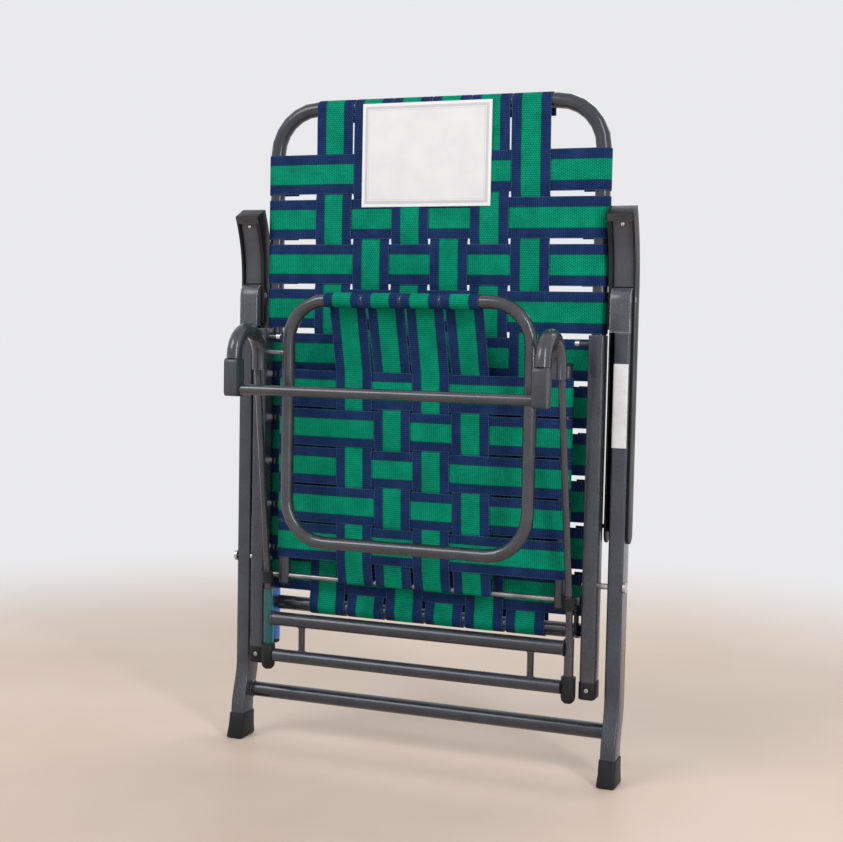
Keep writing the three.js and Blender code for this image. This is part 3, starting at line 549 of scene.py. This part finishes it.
def column_x(col, spread, z):
    """Middle of a column at a height: the columns fan out a little towards their lower bar."""
    count, top, bottom, pitch, shift, fan, drift = spread
    share = (top - z) / (top - bottom)
    return shift + share * drift + (col - (count - 1) / 2) * (pitch + share * fan)


def row_over(row, col):
    return (row + col) % 2 == 0


QUARTER = math.pi / 2
LAYER = STRAP_GAP + CAD_STRAP_THICK / 2
BACK_WRAP = BACK_TUBE + LAYER
HIP_WRAP = HIP_BAR + LAYER
SEAT_WRAP = SEAT_TUBE + LAYER
RING_WRAP = RING_TUBE + LAYER
ROD_WRAP = HIP_ROD + LAYER
SEAT_LENGTH = (SEAT_ROWS - 1) * SEAT_PITCH + SEAT_ROW_WIDTH
SEAT_LOW = SEAT_TOP_ROW - SEAT_LENGTH + SEAT_ROW_WIDTH / 2
SEAT_LEAN = math.atan2(SEAT_RISE, SEAT_LENGTH)


def seat_weave_y(z):
    return SEAT_Y - SEAT_WRAP - STRAP_GAP - math.tan(SEAT_LEAN) * (z - SEAT_LOW)


def row_strap(name, z, width, span, plane, wrap, levels, lean, body):
    """Strap across a panel at height z, wrapped round its side tubes at x -span and span.

    levels lists the crossing columns as (middle, half width, depth of the row there).
    """
    route = [(-span + HEM, plane + wrap)] + arc((-span, plane), wrap, QUARTER, 3 * QUARTER)
    for x, half, y in levels:
        route += [(x - half, y), (x + half, y)]
    route += arc((span, plane), wrap, -QUARTER, QUARTER) + [(span - HEM, plane + wrap)]
    reach = levels[0][0] - levels[0][1] + span

    def wide_at(point, _length, _whole):
        share = min(1.0, max(0.0, (span - abs(point.x)) / reach)) if point.y < plane else 0.0
        return Vector((0.0, -math.sin(lean * share), math.cos(lean * share)))

    return strap(name, route, width, lambda p: at(p.x, p.y, z), wide_at, body)


def column_strap(name, col, spread, width, route, body):
    across = Vector((1.0, 0.0, 0.0))

    def place(point):
        return at(column_x(col, spread, point.y), point.x, point.y)

    return strap(name, route, width, place, lambda _p, _l, _w: across, body)


for row in range(BACK_ROWS):
    z = TOP_ROW - row * BACK_PITCH
    levels = []
    for col in range(BACK_COLS):
        lift = -WEAVE_LIFT if row_over(row, col) else WEAVE_LIFT
        levels.append((column_x(col, BACK_SPREAD, z), BACK_COL_WIDTH / 2, -BACK_WRAP + lift))
    row_strap(
        "back_row_%d" % (row + 1), z, BACK_ROW_WIDTH, BACK_SPAN, 0.0, BACK_WRAP,
        levels, 0.0, "back",
    )
for col in range(BACK_COLS):
    route = [(BACK_WRAP, BACK_TOP - SHORT_HEM)] + arc((0.0, BACK_TOP), BACK_WRAP, 0.0, math.pi)
    for row in range(BACK_ROWS):
        z = TOP_ROW - row * BACK_PITCH
        y = -BACK_WRAP + (WEAVE_LIFT if row_over(row, col) else -WEAVE_LIFT)
        route += [(y, z + BACK_ROW_WIDTH / 2), (y, z - BACK_ROW_WIDTH / 2)]
    hip = (HIP_BAR_Y, HIP_BAR_Z)
    route += arc(hip, HIP_WRAP, touch(route[-1], hip, HIP_WRAP), 2 * math.pi)
    route.append((HIP_BAR_Y + HIP_WRAP, HIP_BAR_Z + SHORT_HEM))
    column_strap("back_col_%d" % (col + 1), col, BACK_SPREAD, BACK_COL_WIDTH, route, "back")
for row in range(SEAT_ROWS):
    z = SEAT_TOP_ROW - row * SEAT_PITCH
    levels = []
    for col in range(SEAT_COLS):
        lift = -WEAVE_LIFT if row_over(row + 1, col) else WEAVE_LIFT
        levels.append((column_x(col, SEAT_SPREAD, z), SEAT_COL_WIDTH / 2, seat_weave_y(z) + lift))
    row_strap(
        "seat_row_%d" % (row + 1), z, SEAT_ROW_WIDTH, SEAT_SPAN, SEAT_Y, SEAT_WRAP,
        levels, SEAT_LEAN, "seat",
    )
for col in range(SEAT_COLS):
    woven = []
    for row in range(SEAT_ROWS):
        z = SEAT_TOP_ROW - row * SEAT_PITCH
        lift = WEAVE_LIFT if row_over(row + 1, col) else -WEAVE_LIFT
        for edge in (z + SEAT_ROW_WIDTH / 2, z - SEAT_ROW_WIDTH / 2):
            woven.append((seat_weave_y(edge) + lift, edge))
    bar, rod = (RING_Y, RING_TOP), (SEAT_Y, SEAT_PIVOT)
    leave, meet = touch(woven[0], bar, RING_WRAP), touch(woven[-1], rod, ROD_WRAP)
    route = arc(bar, RING_WRAP, leave + 3 * QUARTER, leave) + woven + arc(rod, ROD_WRAP, meet, 2 * math.pi)
    route.append((SEAT_Y + ROD_WRAP, SEAT_PIVOT + SHORT_HEM))
    column_strap("seat_col_%d" % (col + 1), col, SEAT_SPREAD, SEAT_COL_WIDTH, route, "seat")


# Small parts, collected into one mesh per group
class Parts:
    def __init__(self):
        self.verts, self.faces = [], []

    def add(self, verts, faces):
        base = len(self.verts)
        self.verts += verts
        self.faces += [tuple(base + i for i in face) for face in faces]

    def turned(self, place, axis, profile, sides=20):
        """Solid of revolution about an axis; the profile lists (distance along the axis, radius)."""
        axis = Vector(axis).normalized()
        side = axis.orthogonal().normalized()
        other = axis.cross(side)
        verts = []
        for reach, radius in profile:
            for i in range(sides):
                turn = 2 * math.pi * i / sides
                out = side * math.cos(turn) + other * math.sin(turn)
                verts.append(place + axis * (reach * MM) + out * (radius * MM))
        self.add(verts, closed_faces(len(profile), sides))

    def rings(self, levels, sides=30):
        """Upright round piece through level rings, each with its place and radius."""
        verts = []
        for x, y, z, radius in levels:
            for i in range(sides):
                turn = 2 * math.pi * i / sides
                verts.append(at(x + radius * math.cos(turn), y + radius * math.sin(turn), z))
        self.add(verts, closed_faces(len(levels), sides))

    def bead(self, place, axis, radius, thick, seed, sides=40, around=8):
        """Uneven weld bead round a bar."""
        axis = Vector(axis).normalized()
        side = axis.orthogonal().normalized()
        other = axis.cross(side)
        verts, faces = [], []
        for i in range(sides):
            turn = 2 * math.pi * i / sides
            out = side * math.cos(turn) + other * math.sin(turn)
            lump = noise.noise(Vector((seed, 3 * math.cos(turn), 3 * math.sin(turn))))
            size = thick * (1 + 0.28 * lump + 0.12 * math.cos(10 * turn))
            for j in range(around):
                roll = 2 * math.pi * j / around
                reach, rise = radius + size * math.cos(roll), size * math.sin(roll)
                verts.append(place + out * (reach * MM) + axis * (rise * MM))
        count = sides * around
        for i in range(sides):
            for j in range(around):
                a, b = i * around + j, i * around + (j + 1) % around
                faces.append((a, b, (b + around) % count, (a + around) % count))
        self.add(verts, faces)

    def finish(self, name, mat, body, smooth=SMOOTH_ANGLE):
        return add_piece(name, self.verts, self.faces, mat, body, smooth)


LINK_BODY = {"L": "link_left", "R": "link_right"}
ARM_BODY = {"L": "arm_left", "R": "arm_right"}
PAN_HEAD = ((-0.4, 3.1), (0.5, 3.2), (1.2, 2.9), (1.7, 2.3), (1.95, 1.5), (1.2, 1.3), (1.1, 0.4))

# Screws through the hems, behind the panels
SCREW_INSET, TOP_SCREW_DROP = 22.0, 13.0
BACK_SCREW_REACH, SEAT_SCREW_REACH = 17.0, 15.0
BEHIND = (0, 1, 0)
BACK_HEM_Y = BACK_WRAP + STRAP_THICK / 2
SEAT_HEM_Y = SEAT_Y + SEAT_WRAP + STRAP_THICK / 2
screws = Parts()
for row in range(BACK_ROWS):
    z = TOP_ROW - row * BACK_PITCH
    for _, s in SIDES:
        for dz in (-BACK_SCREW_REACH, BACK_SCREW_REACH):
            screws.turned(at(s * (BACK_SPAN - SCREW_INSET), BACK_HEM_Y, z + dz), BEHIND, PAN_HEAD)
for col in range(BACK_COLS):
    x = column_x(col, BACK_SPREAD, BACK_TOP)
    for dx in (-BACK_SCREW_REACH, BACK_SCREW_REACH):
        screws.turned(at(x + dx, BACK_HEM_Y, BACK_TOP - TOP_SCREW_DROP), BEHIND, PAN_HEAD)
screws.finish("hem_screws_back", PLATED, "back")
screws = Parts()
for row in range(SEAT_ROWS):
    z = SEAT_TOP_ROW - row * SEAT_PITCH
    for _, s in SIDES:
        for dz in (-SEAT_SCREW_REACH, SEAT_SCREW_REACH):
            screws.turned(at(s * (SEAT_SPAN - SCREW_INSET), SEAT_HEM_Y, z + dz), BEHIND, PAN_HEAD)
screws.finish("hem_screws_seat", PLATED, "seat")

# Rivets in the end caps of the inner legs
RIVET = ((-0.4, 3.4), (0.5, 3.5), (1.1, 3.0), (1.5, 2.2), (1.6, 1.4), (0.9, 1.2), (0.8, 0.3))
for label, _ in SIDES:
    rivet = Parts()
    low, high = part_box("link_cap_" + label)
    front = Vector(((low.x + high.x) / 2, low.y, low.z * 0.45 + high.z * 0.55))
    rivet.turned(front, (0, -1, 0), RIVET)
    rivet.finish("cap_rivet_" + label, DULL_PLATED, LINK_BODY[label])

# Weld beads where the rails and struts meet the legs and rails
LEG_INNER, REAR_RAIL_Y, REAR_RAIL_Z = 281.9, -8.0, 70.0
FRONT_RAIL_END, FRONT_RAIL_Y, UPPER_RAIL_Z = 228.3, -48.0, 193.0
STRUT_X = 180.0
beads = Parts()
for _, s in SIDES:
    beads.bead(at(s * (LEG_INNER - 0.4), REAR_RAIL_Y, REAR_RAIL_Z), (1, 0, 0), 11.5, 1.6, 3.1 * s)
beads.finish("weld_beads_rear", STEEL, "rear_legs")
beads = Parts()
for _, s in SIDES:
    end = at(s * FRONT_RAIL_END, FRONT_RAIL_Y, UPPER_RAIL_Z)
    beads.bead(end, (1, 0, 0), 10.7, 1.3, 5.3 * s)
    for z, seed in ((146.8, 7.7), (182.6, 9.1)):
        beads.bead(at(s * STRUT_X, FRONT_RAIL_Y, z), (0, 0, 1), 5.0, 1.2, seed * s)
beads.finish("weld_beads_front", WARM_STEEL, "front_legs")

# Plugs in the open tube ends
BACK_PLUG = ((-0.5, 8.0), (0.1, 10.6), (1.2, 11.3), (3.2, 11.2), (5.0, 9.6), (5.8, 6.5), (6.1, 2.0))
SEAT_PLUG = ((-0.5, 7.0), (0.1, 9.2), (1.0, 9.8), (2.4, 9.6), (3.8, 8.2), (4.4, 5.5), (4.6, 1.5))
PLUG_SIDES = 28
SEAT_TUBE_LOW = SEAT_PIVOT - 10.0
plugs = Parts()
for _, s in SIDES:
    plugs.turned(at(s * BACK_SPAN, 0.0, BACK_END), (0, 0, -1), BACK_PLUG, PLUG_SIDES)
plugs.finish("end_plugs_back", BLACK, "back")
plugs = Parts()
for _, s in SIDES:
    for z, way in ((SEAT_TUBE_TOP, 1), (SEAT_TUBE_LOW, -1)):
        plugs.turned(at(s * SEAT_SPAN, SEAT_Y, z), (0, 0, way), SEAT_PLUG, PLUG_SIDES)
plugs.finish("end_plugs_seat", BLACK, "seat")

# Ribbed sleeves over the collars of the stay rods
ROD_TOP, ROD_FOOT = (230.5, -106.0, 583.0), (236.0, -54.0, 258.0)
SLEEVE = [(-9.2, 5.3), (-9.2, 8.0), (-8.6, 8.7)]
for step in (-5.6, -1.9, 1.9, 5.6):
    SLEEVE += [(step - 0.9, 8.7), (step - 0.5, 8.35), (step + 0.5, 8.35), (step + 0.9, 8.7)]
SLEEVE += [(8.6, 8.7), (9.2, 8.0), (9.2, 5.3)]
for label, s in SIDES:
    sleeve = Parts()
    top, bottom = (at(s * x, y, z) for x, y, z in (ROD_TOP, ROD_FOOT))
    sleeve.turned(bottom, (top - bottom).normalized(), SLEEVE, 26)
    sleeve.finish("rod_sleeve_" + label, BLACK, "front_legs", 30.0)

# Faces inside the channel armrests, with a screw near the hand end
ARM_FRONT = -14.0
ARM_BEND_START, ARM_BEND_RADIUS = 705.0, 209.0
ARM_BEND_Y = ARM_FRONT - ARM_BEND_RADIUS
ARM_INNER, ARM_OUTER = 272.1, 307.2
ARM_RECESS, ARM_LIP = 7.0, 12.0
ARM_BEND = math.radians(27)
FACE_LOW, FACE_STEPS = 700.3, 14
FACE_RADIUS = ARM_BEND_RADIUS + ARM_RECESS - 0.25
FACE_INNER, FACE_OUTER = ARM_INNER + 2.5 + 0.4, ARM_OUTER - 3.0 - 0.4
FACE_BEND = ARM_BEND - (ARM_LIP + 1.6) / FACE_RADIUS
# Section of the face: x and height over the web of the channel
FACE_SECTION = (
    (FACE_INNER, 0.0), (FACE_OUTER, 0.0), (FACE_OUTER, 0.7),
    (FACE_OUTER - 1.2, 1.5), (FACE_INNER + 1.2, 1.5), (FACE_INNER, 0.7),
)


def on_bend(radius, turn):
    """Depth and height of a point on the armrest's bend."""
    return ARM_BEND_Y + radius * math.cos(turn), ARM_BEND_START + radius * math.sin(turn)


for label, s in SIDES:
    turns = [FACE_BEND * i / FACE_STEPS for i in range(FACE_STEPS + 1)]
    line = [(*on_bend(FACE_RADIUS, turn), turn) for turn in turns]
    line = [(line[0][0], FACE_LOW, 0.0)] + line
    verts = []
    for y, z, turn in line:
        normal_y, normal_z = -math.cos(turn), -math.sin(turn)
        for x, lift in FACE_SECTION:
            verts.append(at(s * x, y + normal_y * lift, z + normal_z * lift))
    faces = closed_faces(len(line), len(FACE_SECTION))
    add_piece("arm_face_" + label, verts, faces, INLAY, ARM_BODY[label], 30.0)
    screw = Parts()
    turn = FACE_BEND - 4.4 / FACE_RADIUS
    y, z = on_bend(FACE_RADIUS - 1.5, turn)
    spot = at(s * (FACE_INNER + FACE_OUTER) / 2, y, z)
    screw.turned(spot, (0, -math.cos(turn), -math.sin(turn)), PAN_HEAD)
    screw.finish("arm_screw_" + label, PLATED, ARM_BODY[label])

# Lip across the hand end of each armrest
LIP_RADIUS, LIP_STEPS = ARM_BEND_RADIUS - 0.15, 6
for label, s in SIDES:
    verts, faces = [], []
    for i in range(LIP_STEPS + 1):
        turn = ARM_BEND - 0.6 / LIP_RADIUS - (ARM_LIP - 1.4) / LIP_RADIUS * (1 - i / LIP_STEPS)
        for x in (ARM_INNER - 1.8, ARM_OUTER - 2.0):
            for lift in (-0.1, 0.7):
                verts.append(at(s * x, *on_bend(LIP_RADIUS - lift, turn)))
    for i in range(LIP_STEPS):
        for a, b in ((0, 1), (1, 3), (3, 2), (2, 0)):
            faces.append((4 * i + a, 4 * i + b, 4 * i + 4 + b, 4 * i + 4 + a))
    last = 4 * LIP_STEPS
    faces += [(0, 1, 3, 2), (last, last + 1, last + 3, last + 2)]
    add_piece("arm_lip_" + label, verts, faces, LIP, ARM_BODY[label], 30.0)

# Bright tips on the top pins of the inner legs
PIN_TIP_X, PIN_TIP_Z = 229.0, 620.0
PIN_TIP = ((0.0, 2.8), (0.5, 4.2), (6.6, 4.4), (7.2, 3.3))
for label, s in SIDES:
    cap = Parts()
    cap.turned(at(s * PIN_TIP_X, SEAT_Y, PIN_TIP_Z), (s, 0, 0), PIN_TIP, 22)
    cap.finish("pin_tip_" + label, PLATED, LINK_BODY[label])


# Glossy film on the left: blue round the back tube's end, teal round the front leg's lower tube; the pale
# band at each film's right is a painted highlight
def film_finish(name, left, middle, right, centre_x):
    mat, tree, shader = new_material(name)
    where = node(tree, "ShaderNodeTexCoord").outputs["Object"]
    parts = node(tree, "ShaderNodeSeparateXYZ", {0: where})
    wave = times(tree, less(tree, grain(tree, 60.0), 0.5), 0.005)
    across = maths(tree, "ADD", less(tree, parts.outputs[0], centre_x), wave)
    # Colour bands across the film; the pale band to the right is a painted highlight
    colour = mixed(tree, ramp(tree, across, -0.006, 0.0), (*left, 1.0), (*middle, 1.0))
    colour = mixed(tree, ramp(tree, across, 0.0055, 0.009), colour, (*right, 1.0))
    tree.links.new(colour, shader.inputs["Base Color"])
    gloss = ramp(tree, grain(tree, 140.0), 0.3, 0.7, 0.12, 0.24)
    tree.links.new(gloss, shader.inputs["Roughness"])
    tree.links.new(bumped(tree, grain(tree, 120.0, 3.0), 0.3, 0.0004), shader.inputs["Normal"])
    return mat


LOWER_TUBE_X = -236.0
BLUE_FILM = film_finish(
    "blue_film", (0.01, 0.17, 0.22), (0.02, 0.15, 0.62), (0.07, 0.27, 0.78), -BACK_SPAN * MM
)
TEAL_FILM = film_finish(
    "teal_film", (0.004, 0.07, 0.075), (0.007, 0.11, 0.115), (0.015, 0.2, 0.36), LOWER_TUBE_X * MM
)
BLUE_SLEEVE = ((0.0, 11.1), (0.3, 11.6), (88.0, 11.6), (88.4, 11.1))
# Depth, height and radius along the lower tube and the bend above it
TEAL_LEVELS = (
    (-48.0, 153.5, 7.1), (-48.0, 154.0, 7.5), (-48.0, 206.0, 7.6),
    (-50.0, 222.0, 7.4), (-51.8, 238.0, 6.4),
)
sleeve = Parts()
sleeve.turned(at(-BACK_SPAN, 0.0, BACK_END + 1.5), (0, 0, 1), BLUE_SLEEVE, 36)
sleeve.finish("film_back_tube", BLUE_FILM, "back")
sleeve = Parts()
sleeve.rings([(LOWER_TUBE_X, *level) for level in TEAL_LEVELS])
sleeve.finish("film_front_leg", TEAL_FILM, "front_legs")

# Bare sticker on the right outer leg, bent round the leg's front corners
LEG_FLAT = (284.9, 300.9)
LEG_FRONT, LEG_CORNER = -25.0, 3.0
STICKER_ENDS = (476.0, 593.0)
outline = []
for lift, order in ((0.22, 1), (0.02, -1)):
    radius = LEG_CORNER + lift
    edge = []
    for x, turns in zip(LEG_FLAT, ((-50, -25, 0), (0, 25, 50))):
        for turn in (math.radians(angle) for angle in turns):
            y = LEG_FRONT + LEG_CORNER - radius * math.cos(turn)
            edge.append((x + radius * math.sin(turn), y))
    outline += edge[::order]
verts = [at(x, y, z) for z in STICKER_ENDS for x, y in outline]
faces = closed_faces(len(STICKER_ENDS), len(outline))
add_piece("leg_sticker", verts, faces, STICKER, "rear_legs")

# Camera, fitted to the photograph
YAW, PITCH, ROLL = math.radians(21.32), math.radians(3.78), math.radians(1.13)
CAMERA_PLACE, LENS = (0.7654, -1.9003, 0.6409), 61.73
flat = math.cos(PITCH)
ahead = Vector((-math.sin(YAW) * flat, math.cos(YAW) * flat, -math.sin(PITCH)))
level = Vector((math.cos(YAW), math.sin(YAW), 0.0))
above = level.cross(ahead)
right = level * math.cos(ROLL) + above * math.sin(ROLL)
up = above * math.cos(ROLL) - level * math.sin(ROLL)
camera = bpy.data.objects.new("camera", bpy.data.cameras.new("camera"))
camera.data.sensor_width = 36.0
camera.data.lens = LENS
turned = Matrix((right, up, -ahead)).transposed().to_4x4()
camera.matrix_world = Matrix.Translation(CAMERA_PLACE) @ turned
bpy.context.scene.collection.objects.link(camera)
bpy.context.scene.camera = camera


def seen_share(tree):
    """1 for camera, glossy and transmission rays, which see the background, and 0 for the rest."""
    path = node(tree, "ShaderNodeLightPath")
    shown = maths(tree, "MAXIMUM", path.outputs["Is Camera Ray"], path.outputs["Is Glossy Ray"])
    return maths(tree, "MAXIMUM", shown, path.outputs["Is Transmission Ray"])


# Floor, fading to the background away from the chair
FLOOR_SIZE = 14.0
BACKGROUND = (0.82, 0.82, 0.835, 1.0)
mat, tree, shader = new_material("studio_floor")
where = node(tree, "ShaderNodeTexCoord").outputs["Object"]
reach = node(tree, "ShaderNodeVectorMath", {0: where}, operation="LENGTH").outputs["Value"]
fade = ramp(tree, reach, 0.9, 2.1)
patches = ramp(tree, grain(tree, 3.0, 2.0), 0.3, 0.7)
tone = mixed(tree, patches, (0.72, 0.57, 0.465, 1.0), (0.76, 0.61, 0.505, 1.0))
tree.links.new(tone, shader.inputs["Base Color"])
shader.inputs["Roughness"].default_value = 0.5
shader.inputs["Specular IOR Level"].default_value = 0.25
glow = node(tree, "ShaderNodeEmission", {"Color": BACKGROUND, "Strength": 1.0})
shown = times(tree, fade, seen_share(tree))
blend = node(tree, "ShaderNodeMixShader", {0: shown, 1: shader.outputs[0], 2: glow.outputs[0]})
tree.links.new(blend.outputs[0], tree.nodes["Material Output"].inputs["Surface"])
floor_mesh = bpy.data.meshes.new("studio_floor")
half = FLOOR_SIZE / 2
corners = [(-half, -half, 0), (half, -half, 0), (half, half, 0), (-half, half, 0)]
floor_mesh.from_pydata(corners, [], [(0, 1, 2, 3)])
floor_mesh.materials.append(mat)
floor = bpy.data.objects.new("studio_floor", floor_mesh)
floor.location.z = -0.0004
bpy.context.scene.collection.objects.link(floor)

# World: the background for the camera, and a soft even light
world = bpy.data.worlds.new("studio")
bpy.context.scene.world = world
world.use_nodes = True
tree = world.node_tree
tree.nodes.clear()
seen = node(tree, "ShaderNodeBackground", {"Color": BACKGROUND, "Strength": 1.0})
lit = node(tree, "ShaderNodeBackground", {"Color": (0.93, 0.96, 1.0, 1.0), "Strength": 0.6})
shares = {0: seen_share(tree), 1: lit.outputs[0], 2: seen.outputs[0]}
joined_light = node(tree, "ShaderNodeMixShader", shares)
out = node(tree, "ShaderNodeOutputWorld")
tree.links.new(joined_light.outputs[0], out.inputs["Surface"])


def lamp(name, place, target, size, power, colour=(1.0, 1.0, 1.0)):
    data = bpy.data.lights.new(name, "AREA")
    data.shape = "RECTANGLE"
    data.size, data.size_y = size
    data.energy = power
    data.color = colour
    ob = bpy.data.objects.new(name, data)
    ob.location = place
    ob.rotation_euler = (Vector(target) - Vector(place)).to_track_quat("-Z", "Y").to_euler()
    bpy.context.scene.collection.objects.link(ob)


lamp("key", (-1.6, -2.2, 2.6), (0, 0, 0.5), (1.8, 1.4), 36.0)
lamp("strip", (1.9, -1.5, 1.5), (0.1, 0, 0.55), (0.28, 2.2), 25.0)
lamp("rear", (0.6, 2.4, 2.3), (0, 0, 0.5), (2.2, 1.2), 21.0)

bpy.context.scene.view_settings.view_transform = "Standard"
